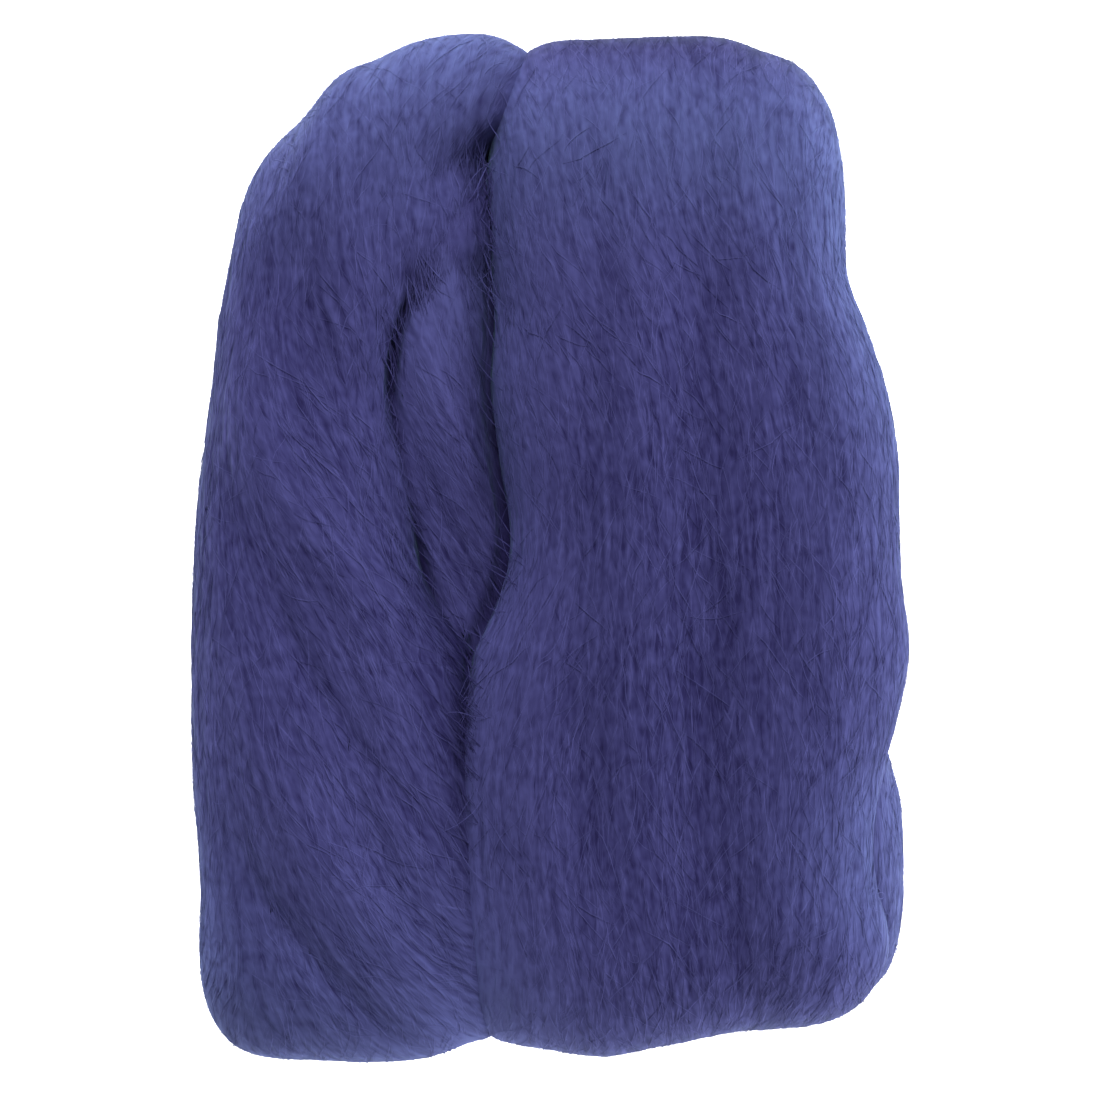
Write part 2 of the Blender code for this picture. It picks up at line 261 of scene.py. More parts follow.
# %% Shape a pass
def rounded_block(shape, cube):
    """Each point of the gridded cube on a soft rounded block, as shares of its half sizes."""
    a, b, c = cube.T
    inner_x = 1 - shape.side_round / shape.half_width
    inner_y = 1 - shape.end_round / shape.half_length
    core_x, core_y = np.clip(a, -inner_x, inner_x), np.clip(b, -inner_y, inner_y)
    out_x, out_y = (a - core_x) / (1 - inner_x), (b - core_y) / (1 - inner_y)
    in_plan = (np.abs(out_x) ** shape.corner + np.abs(out_y) ** shape.corner) ** (2 / shape.corner)
    reach = np.sqrt(in_plan + c * c)
    height = c / reach
    between = 2 * np.sqrt(np.abs(height) / (1 + np.abs(height)))
    two_layers = (1 - shape.waist + shape.waist * between) / (1 - LAYER_SPREAD * shape.waist)
    layered = 1 + (two_layers - 1) * (1 - out_y**2)
    u = core_x + (1 - inner_x) * out_x / reach * layered
    v = core_y + (1 - inner_y) * out_y / reach
    return u, v, height


def place(plan, cube):
    """The cube's points in millimetres, where the tables put them."""
    shape = plan.shape
    u, v, height = rounded_block(shape, cube)
    left, right = read_rows(plan.sides, v * shape.half_length)
    lower, upper = read_rows(plan.ends, u)
    crest, crest_across = read_rows(plan.crests, v * shape.half_length)
    x = left + (right - left) * (u + 1) / 2
    y = lower + (upper - lower) * (v + 1) / 2
    rise = (crest - shape.middle) * (1 - shape.crown * (u - crest_across) ** 2)
    top = shape.middle + height * (rise + fold_rise(plan.folds, x, y))
    bottom = shape.middle + height * shape.under * (1 - shape.crown * u**2)
    return np.stack([x, y, np.where(height < 0, bottom, top)], axis=1)


# %% [markdown]
# Some tables give three values across a pass: at its left edge, its centre and its right edge. Between
# them the value bends, so that an edge's value stays near that edge.

# %% Read across a pass
LEAN_BEND = 1.3  # the higher, the nearer to the edge its value stays


def across_rows(plan, rows, x, y, bend):
    """The value between the left, centre and right columns of the rows at each place."""
    left, right = read_rows(plan.sides, y)
    u = np.clip(2 * (x - left) / (right - left) - 1, -1, 1)
    at_left, at_centre, at_right = read_rows(rows, y)
    side = np.where(u < 0, at_left, at_right)
    return at_centre + (side - at_centre) * np.abs(u) ** bend


def lean_of(plan, x, y):
    """The fibres' lean at each place, in radians."""
    return np.radians(across_rows(plan, plan.leans, x, y, LEAN_BEND))


# %% [markdown]
# Combed streaks need to know how far a point lies across and along the wool. Where it turns over an
# edge, the distance goes on along the arc, so the streaks keep their width.


# %% Unroll a pass
def flat_part(plan, x, y):
    """The nearest place in plan where the pass is not rounded yet."""
    shape = plan.shape
    left, right = read_rows(plan.sides, y)
    u = np.clip(2 * (x - left) / (right - left) - 1, -1, 1)
    lower, upper = read_rows(plan.ends, u)
    core_x = np.clip(x, left + shape.side_round, right - shape.side_round)
    return core_x, np.clip(y, lower + shape.end_round, upper - shape.end_round)


def unrolled(plan, points):
    """How far each point lies across and along the wool, measured over its rounded edges."""
    shape = plan.shape
    x, y, z = points.T
    core_x, core_y = flat_part(plan, x, y)
    up = np.maximum(np.abs(z - shape.middle), 0.01)
    radius = (shape.side_round + shape.middle) / 2
    across = core_x + radius * np.arctan2(x - core_x, np.hypot(up, y - core_y))
    return across, core_y + radius * np.arctan2(y - core_y, up)


# %% [markdown]
# Combed wool lies in slivers side by side, a little higher or lower, lighter or darker. They could be
# painted in a texture, but they bend with the lie of the fibres. So random spots are smeared along that
# lie, as a comb would do it.

# %% Comb the slivers
SPOTS = np.random.default_rng(7).random((256, 256))
SPOTS_FROM = (17.3, 9.1)  # where among the spots the hank lies
SLIVER_WIDTH, SPOT_LENGTH, SLIVER_LENGTH = 4.5, 9.5, 38.0
SMEARS = 9  # along a sliver's length
CONTRAST = 5.5  # the mean of many spots is dull, and this brings it back to about -1 to 1


def spots(x, y):
    """Smooth random values from 0 to 1, one unit apart."""

    def spot(over, up):
        return SPOTS[(column + over) % len(SPOTS), (row + up) % len(SPOTS)]

    column, row = np.floor(x).astype(int), np.floor(y).astype(int)
    s, t = x - column, y - row
    s, t = s * s * (3 - 2 * s), t * t * (3 - 2 * t)
    near = spot(0, 0) * (1 - s) + spot(1, 0) * s
    far = spot(0, 1) * (1 - s) + spot(1, 1) * s
    return near * (1 - t) + far * t


def slivers(plan, points):
    """How high the wool's slivers are at each point, from about -1 to 1."""
    across, along = unrolled(plan, points)
    slope = np.tan(lean_of(plan, points[:, 0], points[:, 1]))
    total = np.zeros_like(across)
    for step in np.linspace(-0.5, 0.5, SMEARS):
        run = step * SLIVER_LENGTH
        spot_x = (across - slope * run) / SLIVER_WIDTH + SPOTS_FROM[0]
        total += spots(spot_x, (along + run) / SPOT_LENGTH + SPOTS_FROM[1])
    return (total / SMEARS - 0.5) * CONTRAST


# %% [markdown]
# Finer streaks than the grid can hold are left to the finish. It needs to know which combed line passes
# at every point. So from each point its line is followed to the nearest of a set of rows, and the place
# where it crosses the row is kept. One set would leave a seam half way between two rows. So there is a
# second set half way between them, and each fades out where its own seams lie.


# %% Follow the combed lines
ROWS_APART = 36.0  # between two rows of one set
STEPS_TO_ROW = 6
SETS_APART = 40.0  # so that the noise that reads the two sets is not the same


def keep_value(mesh, name, values):
    """Keeps a value from 0 to 1 on each point, for the dye to read."""
    kept = mesh.attributes.new(name, "FLOAT", "POINT")
    kept.data.foreach_set("value", np.clip(values, 0, 1))


def keep_lines(mesh, plan, points):
    """Keeps the combed lines of both sets of rows on each point, and the share of the first set."""
    across, along = unrolled(plan, points)
    for name, offset in (("lines_a", 0.0), ("lines_b", 0.5)):
        row = (np.round(along / ROWS_APART - offset) + offset) * ROWS_APART
        x, y, step = across.copy(), along.copy(), (row - along) / STEPS_TO_ROW
        for _ in range(STEPS_TO_ROW):
            x -= np.tan(lean_of(plan, x, y)) * step
            y += step
        kept = mesh.attributes.new(name, "FLOAT_VECTOR", "POINT")
        lines = np.stack([x, along, np.full_like(x, SETS_APART * offset)], axis=1)
        kept.data.foreach_set("vector", lines.ravel())
    to_row = np.abs(along / ROWS_APART - np.round(along / ROWS_APART))
    keep_value(mesh, "lines_share", 1 - 2 * to_row)


# %% [markdown]
# The cube is cut into its grid with one call for each axis, its points are placed, and the slivers lift
# the surface along its normals. The wool that would go below the table is pressed flat on it. A tone is
# kept on each point too. It varies at random with the slivers, and the tables and the folds paint light
# and shade into it. A painted highlight, which follows the tables alone, is kept as well.


# %% Make the four passes
def boxed_grid(cells):
    """A cube from -1 to 1 whose faces are cut into a grid."""
    grid = bmesh.new()
    bmesh.ops.create_cube(grid, size=2)
    for axis, count in enumerate(cells):
        edges = [edge for edge in grid.edges if edge.verts[0].co[axis] != edge.verts[1].co[axis]]
        bmesh.ops.subdivide_edges(grid, edges=edges, cuts=count - 1, use_grid_fill=True)
    return grid


def read_all(items, name, width=3, kind=float):
    """A value of all points, normals or triangles of a mesh, one row each."""
    rows = np.empty(len(items) * width, kind)
    items.foreach_get(name, rows)
    return rows.reshape(-1, width)


def points_of(mesh):
    """The mesh's points, one row each."""
    return read_all(mesh.vertices, "co")


def normals_of(mesh):
    """The way out of the surface at each point."""
    return read_all(mesh.vertex_normals, "vector")


SLIVER_RISE, SLIVER_TONE = 0.10, 0.03  # for the highest slivers, in millimetres and in tone
FOLD_SHADING = 0.05  # painted light that makes a ridge paler for each millimetre, and painted shade that makes a trough darker
# how near an edge the values of the painted light and shade and of the painted highlight stay
TONE_BEND, HIGHLIGHT_BEND = 2.5, 3.0


def keep_dye_and_painted_light(mesh, plan, points, own):
    """Keeps the tone with its painted light and shade, with own added, the painted highlight and the
    combed lines on each point.
    """
    x, y, z = points.T
    from_table = np.clip(z / plan.shape.middle, 0, 1)  # the tables fade out on the underside
    folds = np.clip(fold_rise(plan.folds, x, y), -2, 2)
    # the tone tables and the folds paint light and shade into the tone
    paler = across_rows(plan, plan.tones, x, y, TONE_BEND) + FOLD_SHADING * folds
    keep_value(mesh, "tone", 0.5 + paler * from_table + own)
    # the painted highlight follows the tables
    keep_value(mesh, "bloom", across_rows(plan, plan.blooms, x, y, HIGHLIGHT_BEND) * from_table)
    keep_lines(mesh, plan, points)


def add_object(name, data):
    """A new object in the scene."""
    added = bpy.data.objects.new(name, data)
    bpy.context.scene.collection.objects.link(added)
    return added


def make_pass(plan):
    """One pass of the roving as a closed mesh, with its slivers raised."""
    grid = boxed_grid(plan.shape.cells)
    mesh = bpy.data.meshes.new(plan.shape.name)
    grid.to_mesh(mesh)
    grid.free()
    points = place(plan, points_of(mesh))
    mesh.vertices.foreach_set("co", points.ravel())
    mesh.update()
    raised = slivers(plan, points)
    keep_dye_and_painted_light(mesh, plan, points, SLIVER_TONE * raised)
    points += normals_of(mesh) * SLIVER_RISE * raised[:, None]
    points[:, 2] = np.maximum(points[:, 2], 0.0)
    mesh.vertices.foreach_set("co", points.ravel() * MM)
    mesh.update()
    mesh.shade_smooth()
    low, high = points.min(0).round(1), points.max(0).round(1)
    print(plan.shape.name, len(mesh.polygons), "faces, box", low, high)
    return add_object(plan.shape.name, mesh)


Made = namedtuple("Made", "plan piece")
plans = (RIGHT_PLAN, LEFT_PLAN, MIDDLE_PLAN, LOWER_PLAN)
passes = [Made(plan, make_pass(plan)) for plan in plans]

# %% [markdown]
# Where two passes lie against each other, the wool is squeezed into a narrow, dark groove. A Boolean
# would give a sharp seam there. Pushing the points inwards, less and less away from the neighbour,
# keeps both surfaces soft. Short tables say how deep each groove is along the hank, and how dark the
# wool in it is, because little light gets past the hairs over it.


# %% Press the grooves
PRESS_INSIDE = 8.0  # how far inside its neighbour a pass is back in its place
# distance along the hank, depth (the groove is filled below 0), width, shade and reach of the shade
RIGHT_GROOVE = (
    (-85, -0.6, 4, 0, 4), (-66, -0.5, 4, 0.05, 4), (-50, -0.2, 3, 0.15, 4), (-25, 0.4, 2, 0.45, 5),
    (-10, 1.2, 2.2, 0.8, 5), (5, 1.4, 2.2, 0.9, 4), (14, 0.8, 2, 0.6, 3.5), (24, 0.6, 2, 0.5, 3.5),
    (36, 0.7, 2, 0.7, 4), (44, 0.4, 2, 0.8, 4.5), (52, 0.4, 2.2, 0.8, 4.5), (58, 0.8, 2.6, 0.8, 4.5),
    (64, 0.7, 3.4, 0.75, 4.5), (68, 0.3, 3.2, 0.6, 3.5), (71, -0.2, 3, 0.35, 2.2),
    (74, -0.5, 3.5, 0.35, 1.4), (85, -0.5, 3.5, 0.35, 1.2),
)
LEFT_CREASE = (
    (-85, 0, 2, 0, 2), (-30, 0, 3, 0, 3), (-18, -0.8, 4, 0.35, 4), (-10, -0.3, 3, 0.6, 3),
    (-3, 0.7, 1.8, 1, 2), (3, 0.2, 2.5, 0.6, 2), (10, -0.3, 3, 0.55, 2), (18, 0.2, 3, 0.6, 2),
    (28, 1, 1.8, 1, 2.2), (36, 0.7, 1.8, 1, 2), (41, 0.3, 2, 0.8, 1.8), (45, -0.8, 4, 0.4, 2.2),
    (49, -2, 6.5, 0.05, 3), (54, -2.3, 7, 0.04, 3), (59, -2.1, 6.5, 0.04, 3), (64, -0.4, 4, 0.6, 4),
    (68, 0, 3, 0.5, 3), (72, 0, 3, 0.15, 2), (76, 0, 2, 0.05, 2), (85, 0, 2, 0, 2),
)
BULGE_CREASE = ((-85, -1, 4, 0, 2), (-50, -0.4, 3, 0.4, 2), (-30, -1, 4, 0, 2))
LIT_REACH = 0.4  # the share that the shade reaches on the right pass, whose edge stands in the light
GROOVES = (
    ({"right_pass", "middle_strand"}, RIGHT_GROOVE),
    ({"right_pass", "left_pass"}, RIGHT_GROOVE),
    ({"left_pass", "middle_strand"}, LEFT_CREASE),
    ({"right_pass", "lower_pass"}, BULGE_CREASE),
)


def unit(vectors):
    """Each vector at length 1."""
    return vectors / np.maximum(np.linalg.norm(vectors, axis=-1, keepdims=True), 1e-12)


def settle(tree, points):
    """The nearest place on the surface to each point, the way out there, and its triangle."""
    places, outs, triangles, _ = zip(*[tree.find_nearest(point) for point in points.tolist()])
    return np.array(places), np.array(outs), np.array(triangles)


def corners_of(mesh):
    """The three point numbers of each triangle."""
    mesh.calc_loop_triangles()
    return read_all(mesh.loop_triangles, "vertices", kind=int)


def tree_of(mesh):
    """A search tree of the mesh's triangles."""
    return BVHTree.FromPolygons(points_of(mesh).tolist(), corners_of(mesh).tolist())


def press(mesh, neighbour, table, reach_share):
    """How far each point is pressed in beside its neighbour, and how deep in shade it lies."""
    points = points_of(mesh)
    places, outs, _ = settle(neighbour, points)
    apart = ((points - places) * outs).sum(1) / MM
    depth, width, shade, shade_reach = read_rows(table, points[:, 1] / MM)
    reach = np.where(apart > 0, apart / width, -apart / PRESS_INSIDE)
    shade = shade * (1 - np.clip(apart / (shade_reach * reach_share), 0, 1)) ** 2
    return depth * (1 - np.clip(reach, 0, 1) ** 2) ** 2, shade


def press_grooves(made_passes):
    """Presses every pass in where it lies against its neighbours."""
    found = {made.plan.shape.name: tree_of(made.piece.data) for made in made_passes}
    for made in made_passes:
        mesh, name = made.piece.data, made.plan.shape.name
        pressed, shaded = np.zeros(len(mesh.vertices)), np.zeros(len(mesh.vertices))
        reach_share = LIT_REACH if name == "right_pass" else 1.0
        for pair, table in GROOVES:
            if name in pair:
                (neighbour,) = pair - {name}
                depth, shade = press(mesh, found[neighbour], table, reach_share)
                pressed = np.where(np.abs(depth) > np.abs(pressed), depth, pressed)
                shaded = np.maximum(shaded, shade)
        keep_value(mesh, "shade", shaded)
        points = points_of(mesh) - normals_of(mesh) * pressed[:, None] * MM
        points[:, 2] = np.maximum(points[:, 2], 0.0)
        mesh.vertices.foreach_set("co", points.ravel())
        mesh.update()
        print(name, "is pressed in by up to", pressed.max().round(1), "mm")


press_grooves(passes)

# %% [markdown]
# A real hank holds millions of fibres. Only the outermost ones show, so locks of a few fibres are laid
# over the passes: each is a thin tube of three sides that follows the lie of the wool, rises a little
# out of it and dives back. First the starting places are drawn at random, fewer on the underside, which
# is pressed on the table.


# %% Pick where fibres start
# how far up the surface faces, and how dense fibres lie there
DENSITY = ((-1.0, -0.6, 0.0, 0.5), (0.45, 0.6, 0.9, 1.0))


def starting_places(mesh, count, draw):
    """Random places on the mesh and the way out there, sparser on its sides and below."""
    corners = points_of(mesh)[corners_of(mesh)]
    normal = np.cross(corners[:, 1] - corners[:, 0], corners[:, 2] - corners[:, 0])
    size = np.linalg.norm(normal, axis=1)
    upward = normal[:, 2] / np.maximum(size, 1e-12)
    share = size * np.interp(upward, *DENSITY)
    chosen = draw.choice(len(corners), count, p=share / share.sum())
    s, t = draw.random((2, count, 1))
    s, t = np.where(s + t > 1, 1 - s, s), np.where(s + t > 1, 1 - t, t)
    first, second, third = corners[chosen].swapaxes(0, 1)
    return first + s * (second - first) + t * (third - first), unit(normal[chosen])


# %% [markdown]
# A fibre then runs over the surface in short steps. At each step it turns with the lie of the wool,
# which goes round the axis of each folded end and back underneath, and it drops onto the nearest place
# of the surface. A search tree makes that quick.


# %% Run fibres along the wool
STRAYING = 0.9  # how much of its angle to the lie a fibre keeps from step to step
LEAST_UP = 0.1  # millimetres from a pass's middle, where the lie turns over


def lie_of(made, points, normals):
    """The way that the wool runs at each place, round its folded ends too."""
    x, y, z = points.T / MM
    lean = lean_of(made.plan, x, y)
    up = z - made.plan.shape.middle
    up = np.where(up < 0, np.minimum(up, -LEAST_UP), np.maximum(up, LEAST_UP))
    past = y - flat_part(made.plan, x, y)[1]
    ahead = unit(np.stack([up * np.sin(lean), -up * np.cos(lean), past], axis=1))
    return unit(ahead - normals * (ahead * normals).sum(1, keepdims=True))


def turned(directions, normals, angles):
    """Each direction turned about its normal."""
    across = np.cross(normals, directions)
    return directions * np.cos(angles)[:, None] + across * np.sin(angles)[:, None]


def run_fibres(made, tree, starts, lay, step_lengths, draw):
    """The places, normals and triangles at each step of each fibre."""
    places, outs, triangles = settle(tree, starts)
    angles = draw.normal(0, lay.stray, len(starts))
    paths, normals, under, last = [places], [outs], [triangles], None
    for _ in range(lay.rings - 1):
        ahead = lie_of(made, places, outs)
        if last is not None:
            ahead = np.where((ahead * last).sum(1, keepdims=True) < 0, -ahead, ahead)
        last = ahead
        angles = angles * STRAYING + draw.normal(0, lay.wobble, len(starts))
        moved = places + turned(ahead, outs, angles) * step_lengths[:, None]
        places, outs, triangles = settle(tree, moved)
        paths.append(places)
        normals.append(outs)
        under.append(triangles)
    return np.stack(paths, axis=1), np.stack(normals, axis=1), np.stack(under, axis=1)


# %% [markdown]
# A fibre that lies inside another pass would never be seen, so it is dropped. Where two passes meet,
# the fibres of both dive into the groove between them.


# %% Drop the hidden fibres
COVER = 0.9 * MM  # wool under less than this still shows between the fibres over it
RAY = 60 * MM  # longer than the hank is high


def covered(tree, point, out):
    """Whether a ray outwards leaves the surface from within, more than the cover away."""
    hit, facing, _, distance = tree.ray_cast(point, out, RAY)
    return hit is not None and distance > COVER and facing.dot(out) > 0


def in_view(made, places, outs):
    """Whether each place on a pass lies outside the other passes."""
    others = [tree for name, tree in trees.items() if name != made.plan.shape.name]
    rays = [(Vector(place), Vector(out)) for place, out in zip(places.tolist(), outs.tolist())]
    return np.array([not any(covered(tree, place, out) for tree in others) for place, out in rays])


# %% [markdown]
# The tubes are small and alike, so they are joined into a few meshes straight from the arrays of their
# paths. Each has a ring of three points at every step and closed ends. It gets a tone of its own, and
# its own narrow cell in a map, so that a bake has room for every fibre.


# %% Make tubes from the paths
SIDES_OF_TUBE = 3
SOFTNESS = 2.5  # how much a tube is shaded as the wool around it rather than as a tube


def tube_faces(rings):
    """The four-sided faces of one tube."""
    sides = [(side, (side + 1) % SIDES_OF_TUBE) for side in range(SIDES_OF_TUBE)]
    rows = [(ring * SIDES_OF_TUBE, (ring + 1) * SIDES_OF_TUBE) for ring in range(rings - 1)]
    return [(low + a, high + a, high + b, low + b) for low, high in rows for a, b in sides]


def tube_cells(rings):
    """Where each corner of a tube lies in its cell: the sides, then the two closing ends."""
    rows, columns = np.linspace(0.08, 0.92, rings), np.linspace(0.1, 0.9, SIDES_OF_TUBE + 1)
    corners = []
    for low, high in zip(rows, rows[1:]):
        for left, right in zip(columns, columns[1:]):
            corners += [(left, low), (left, high), (right, high), (right, low)]
    corners += [(0.1, 0.01), (0.5, 0.06), (0.9, 0.01), (0.9, 0.99), (0.5, 0.94), (0.1, 0.99)]
    return np.array(corners)


def tubes(plan, name, paths, normals, thickness, flatness, tones, shades):
    """Joined tubes along the paths, with a thickness, a tone of their own and a shade at every step."""
    count, rings = paths.shape[:2]
    ahead = unit(np.gradient(paths, axis=1))
    side = unit(np.cross(ahead, normals))
    up = np.cross(side, ahead)
    points = np.empty((count, rings, SIDES_OF_TUBE, 3))
    for corner in range(SIDES_OF_TUBE):
        angle = math.pi / 2 + 2 * math.pi * corner / SIDES_OF_TUBE
        offset = math.cos(angle) * side + flatness * math.sin(angle) * up
        points[:, :, corner] = paths + offset * (thickness / 2)[:, :, None]
    points[..., 2] = np.maximum(points[..., 2], 0.0)
    per_tube = rings * SIDES_OF_TUBE
    starts = (np.arange(count) * per_tube)[:, None, None]
    quads = np.array(tube_faces(rings))[None] + starts
    last = per_tube - SIDES_OF_TUBE
    ends = np.array([(0, 1, 2), (last + 2, last + 1, last)])[None] + starts
    faces = [face for quad, end in zip(quads.tolist(), ends.tolist()) for face in quad + end]
    mesh = bpy.data.meshes.new(name)
    mesh.from_pydata(points.reshape(-1, 3), [], faces)
    mesh.shade_smooth()
    outward = unit(points - paths[:, :, None])
    soft = unit(outward + SOFTNESS * normals[:, :, None])
    mesh.normals_split_custom_set_from_vertices(soft.reshape(-1, 3).tolist())
    keep_dye_and_painted_light(mesh, plan, points.reshape(-1, 3) / MM, np.repeat(tones.ravel(), SIDES_OF_TUBE))
    keep_value(mesh, "shade", np.repeat(shades.ravel(), SIDES_OF_TUBE))
    columns = math.ceil(math.sqrt(2 * count))
    rows = math.ceil(count / columns)
    row, column = np.divmod(np.arange(count), columns)
    cell = np.stack([column, row], axis=1)[:, None]
    corners = (cell + tube_cells(rings)[None]) / np.array([columns, rows])
    bake_map = mesh.uv_layers.new(name="OFBake")
    bake_map.data.foreach_set("uv", corners.ravel())
    print(name, count, "tubes,", count * (2 * (rings - 1) * SIDES_OF_TUBE + 2), "triangles")
    return add_object(name, mesh)


# %% [markdown]
# Each lock of fibres rises out of the wool and dives back into it. Its tone follows the wool under it,
# with a little chance of its own that fades out at both ends. Single hairs and a few strays lie over
# the locks, thinner, longer, paler and less well combed.


# %% Lay the fibres
def shades_of(mesh):
    """How deep in shade each triangle lies."""
    shades = read_all(mesh.attributes["shade"].data, "value", width=1)[:, 0]
    return shades[corners_of(mesh)].mean(1)


DIVE = 0.12 * MM  # how deep both ends of a fibre lie in the wool
THIN_END = 0.35  # the share of its thickness that a fibre keeps at its ends


def arch(rings, power=1.0):
    """From 0 at a fibre's ends to 1 at its middle, at each step. A lower power makes it blunter."""
    return np.sin(math.pi * np.linspace(0, 1, rings))[None] ** power


def taper_of(rings, thickness):
    """Thinner towards both ends."""
    return thickness[:, None] * (THIN_END + (1 - THIN_END) * arch(rings, 0.6))


trees = {made.plan.shape.name: tree_of(made.piece.data) for made in passes}
draw = np.random.default_rng(31)
# lengths, thicknesses and heights in millimetres, stray and wobble in radians
Lay = namedtuple(
    "Lay", "rings shortest longest thinnest thickest flatness lowest highest stray wobble chance paler"
)
LOCKS = Lay(5, 3.5, 12, 0.26, 0.52, 0.25, 0, 0.1, 0.2, 0.1, 0.15, 0)
HAIRS = Lay(7, 6, 18, 0.12, 0.2, 0.35, 0.05, 0.28, 0.38, 0.16, 0.14, 0.2)
STRAYS = Lay(9, 8, 24, 0.1, 0.17, 0.35, 0.05, 0.25, 0.55, 0.18, 0.12, 0.3)


def lay_fibres(name, made, count, lay, spare=1.8):
    """A piece with fibres over one pass. spare says how many more are tried, as some are hidden."""
    starts, outs = starting_places(made.piece.data, int(count * spare), draw)
    starts = starts[in_view(made, starts, outs)]
    lengths = draw.uniform(lay.shortest, lay.longest, len(starts)) * MM / (lay.rings - 1)
    paths, normals, under = run_fibres(made, trees[made.plan.shape.name], starts, lay, lengths, draw)
    middle = lay.rings // 2
    kept = np.flatnonzero(in_view(made, paths[:, middle], normals[:, middle]))[:count]
    paths, normals = paths[kept], normals[kept]
    thickness = draw.uniform(lay.thinnest, lay.thickest, len(kept)) * MM
    high = draw.uniform(lay.lowest, lay.highest, len(kept)) * MM
    lift = (high + DIVE)[:, None] * arch(lay.rings, 0.8) - DIVE
    tones = draw.normal(lay.paler, lay.chance, len(kept))[:, None] * arch(lay.rings)
    shades = shades_of(made.piece.data)[under[kept]]
    paths, thickness = paths + normals * lift[..., None], taper_of(lay.rings, thickness)
    return tubes(made.plan, name, paths, normals, thickness, lay.flatness, tones, shades)


right, left, middle, lower = passes
fibres = [
    lay_fibres("right_locks", right, 7400, LOCKS),
    lay_fibres("left_locks", left, 5400, LOCKS),
    lay_fibres("middle_locks", middle, 1300, LOCKS, 8),
    lay_fibres("lower_locks", lower, 600, LOCKS, 5),
    lay_fibres("right_hairs", right, 3600, HAIRS),
    lay_fibres("left_hairs", left, 2700, HAIRS),
    lay_fibres("middle_hairs", middle, 550, HAIRS, 8),
    lay_fibres("lower_hairs", lower, 300, HAIRS, 5),
    lay_fibres("right_strays", right, 320, STRAYS),
    lay_fibres("left_strays", left, 260, STRAYS),
]

# %% [markdown]
# Some hairs do not dive into the grooves but span them, and a few long ones wander over the hank or
# curl up. They are drawn as curves seen from above. Rays dropped on the passes find their height, and
# no point hangs below the straight line between its two neighbours, so a hair spans a groove.


# %% Lay hairs that cross
Cross = namedtuple("Cross", "steps shortest longest thinnest thickest lift stray curl paler shade")
FACES_UP = 0.3  # the least upward share of the way out, where a crossing hair may lie
TIGHTENING = 12  # how many times a hair is pulled towards a straight line
FLAT = 0.2  # how thick a crossing hair is for its width, as a thicker one would look dark on one side
LEAST_LIFT = 0.3  # the least share of the lift that a hair gets
CROSS_DIVE = 0.15  # how deep both ends lie in the wool, in millimetres
CROSS_CHANCE = 0.08  # of each hair's tone
BEND_WITH = 0.3  # how much a hair's shading turns with the wool right under it


def top_at(x, y):
    """The top height at this place and the way out there, or no number beside the hank."""
    start, down = Vector((x, y, RAY)), Vector((0, 0, -1))
    hits = [tree.ray_cast(start, down)[:2] for tree in trees.values()]
    return max(((hit.z, *out) for hit, out in hits if hit is not None), default=(math.nan, 0, 0, 1))


def crossing_places(made, count, draw, least_shade, low, high):
    """Places on top of a pass, at least this deep in shade, between two distances along it."""
    mesh = made.piece.data
    corners = points_of(mesh)[corners_of(mesh)]
    middle = corners.mean(1)
    upward = normals_of(mesh)[corners_of(mesh)][..., 2].mean(1)
    fits = (shades_of(mesh) >= least_shade) & (upward > FACES_UP)
    fits &= (middle[:, 1] > low * MM) & (middle[:, 1] < high * MM)
    chosen = middle[draw.permutation(np.flatnonzero(fits))[: 4 * count]]  # some are hidden
    seen = [top_at(x, y)[0] - z < COVER for x, y, z in chosen.tolist()]
    return chosen[np.array(seen)][:count]


def lay_crossing(name, made, count, cross, least_shade=0.0, low=-85.0, high=85.0):
    """A piece with hairs that lie across the wool, over its grooves."""
    places = crossing_places(made, count, draw, least_shade, low, high)
    count = len(places)
    t = np.linspace(-0.5, 0.5, cross.steps)[None]
    lean = lean_of(made.plan, *places[:, :2].T / MM) + draw.normal(0, cross.stray, count)
    bend, wave = draw.normal(0, cross.curl, (2, count, 1))
    heading = lean[:, None] + bend * t + 0.5 * wave * np.sin(2 * math.pi * t)
    step = (draw.uniform(cross.shortest, cross.longest, count) * MM / (cross.steps - 1))[:, None]
    x, y = np.cumsum(np.sin(heading) * step, axis=1), np.cumsum(-np.cos(heading) * step, axis=1)
    x += places[:, :1] - x.mean(1, keepdims=True)
    y += places[:, 1:2] - y.mean(1, keepdims=True)
    tops = np.array([top_at(*at) for at in zip(x.ravel().tolist(), y.ravel().tolist())])
    tops = tops.reshape(*x.shape, 4)
    whole = ~np.isnan(tops).any((1, 2))
    x, y, z, outs = x[whole], y[whole], tops[whole, :, 0], tops[whole, :, 1:]
    for _ in range(TIGHTENING):
        z[:, 1:-1] = np.maximum(z[:, 1:-1], (z[:, :-2] + z[:, 2:]) / 2)
    over = np.sin(math.pi * (t + 0.5)) ** 0.5
    z += over * draw.uniform(LEAST_LIFT, 1.0, (len(z), 1)) * cross.lift * MM
    z -= (1 - over) * CROSS_DIVE * MM
    paths = np.stack([x, y, z], axis=2)
    thickness = taper_of(cross.steps, draw.uniform(cross.thinnest, cross.thickest, len(z)) * MM)
    tones = draw.normal(cross.paler, CROSS_CHANCE, len(z))[:, None] * arch(cross.steps)
    shades = np.full(z.shape, cross.shade)
    upwards = unit(outs.mean(1, keepdims=True) + BEND_WITH * outs)
    return tubes(made.plan, name, paths, upwards, thickness, FLAT, tones, shades)


